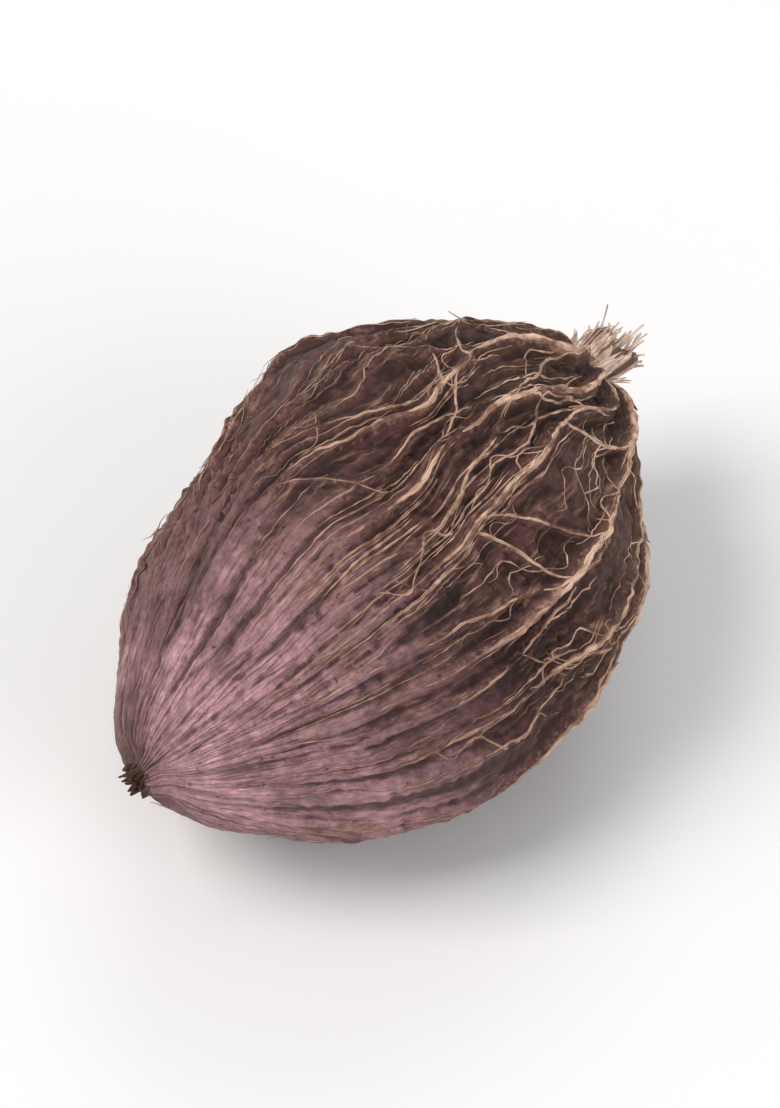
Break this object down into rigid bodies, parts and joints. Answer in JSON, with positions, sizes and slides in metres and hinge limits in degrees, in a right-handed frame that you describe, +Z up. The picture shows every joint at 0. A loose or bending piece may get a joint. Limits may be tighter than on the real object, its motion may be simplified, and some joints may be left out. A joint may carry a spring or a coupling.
{
  "type": "black cardamom pod",
  "caption": "Dried black cardamom pod lying on its side: a ribbed, wrinkled brown husk with a pale net of veins, a short broken stalk and a flower scar.",
  "frame": {"origin": "middle of the pod's footprint, on the surface that it rests on", "axes": "+X along the pod from the flower scar to the stalk, +Z up from the surface that it rests on"},
  "size_m": [0.0214, 0.014, 0.0127],
  "materials": {
    "husk": "dull, dry and ribbed, brown with a reddish-mauve cast and pale straw-coloured veins"
  },
  "bodies": {
    "root": {"pod": "husk"}
  },
  "joints": []
}
